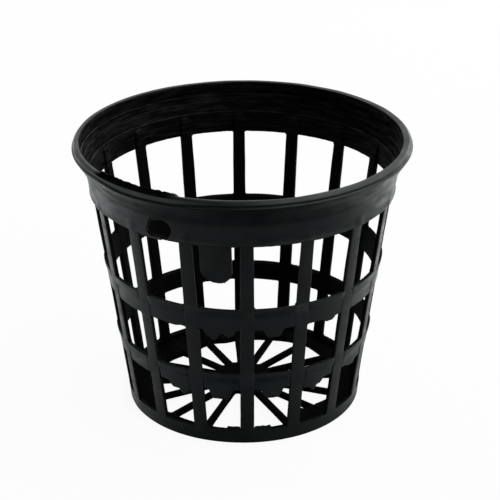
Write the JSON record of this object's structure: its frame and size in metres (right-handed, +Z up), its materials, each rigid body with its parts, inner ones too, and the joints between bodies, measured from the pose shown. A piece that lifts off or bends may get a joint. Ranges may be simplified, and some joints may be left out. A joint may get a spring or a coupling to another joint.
{
  "type": "net pot",
  "caption": "Tapered round net pot with upright ribs, two hoops, a flared stepped collar with a rounded lip and a spoked floor, for plants grown in water.",
  "frame": {"origin": "on the ground at the centre of the foot ring", "axes": "+Z up along the pot's axis, -Y towards the viewer through rib 1, +X to the viewer's right"},
  "size_m": [0.0898, 0.0898, 0.0754],
  "materials": {
    "black_plastic": "satin moulded black polypropylene"
  },
  "bodies": {
    "root": {"lip": "black_plastic", "collar": "black_plastic", "upper_hoop": "black_plastic", "lower_hoop": "black_plastic", "foot_ring": "black_plastic", "hub": "black_plastic", "tongue": "black_plastic", "rib_01": "black_plastic", "rib_02": "black_plastic", "rib_03": "black_plastic", "rib_04": "black_plastic", "rib_05": "black_plastic", "rib_06": "black_plastic", "rib_07": "black_plastic", "rib_08": "black_plastic", "rib_09": "black_plastic", "rib_10": "black_plastic", "rib_11": "black_plastic", "rib_12": "black_plastic", "rib_13": "black_plastic", "rib_14": "black_plastic", "rib_15": "black_plastic", "rib_16": "black_plastic", "spoke_01": "black_plastic", "spoke_02": "black_plastic", "spoke_03": "black_plastic", "spoke_04": "black_plastic", "spoke_05": "black_plastic", "spoke_06": "black_plastic", "spoke_07": "black_plastic", "spoke_08": "black_plastic", "spoke_09": "black_plastic", "spoke_10": "black_plastic", "spoke_11": "black_plastic", "spoke_12": "black_plastic", "spoke_13": "black_plastic", "spoke_14": "black_plastic", "spoke_15": "black_plastic", "spoke_16": "black_plastic"}
  },
  "joints": []
}
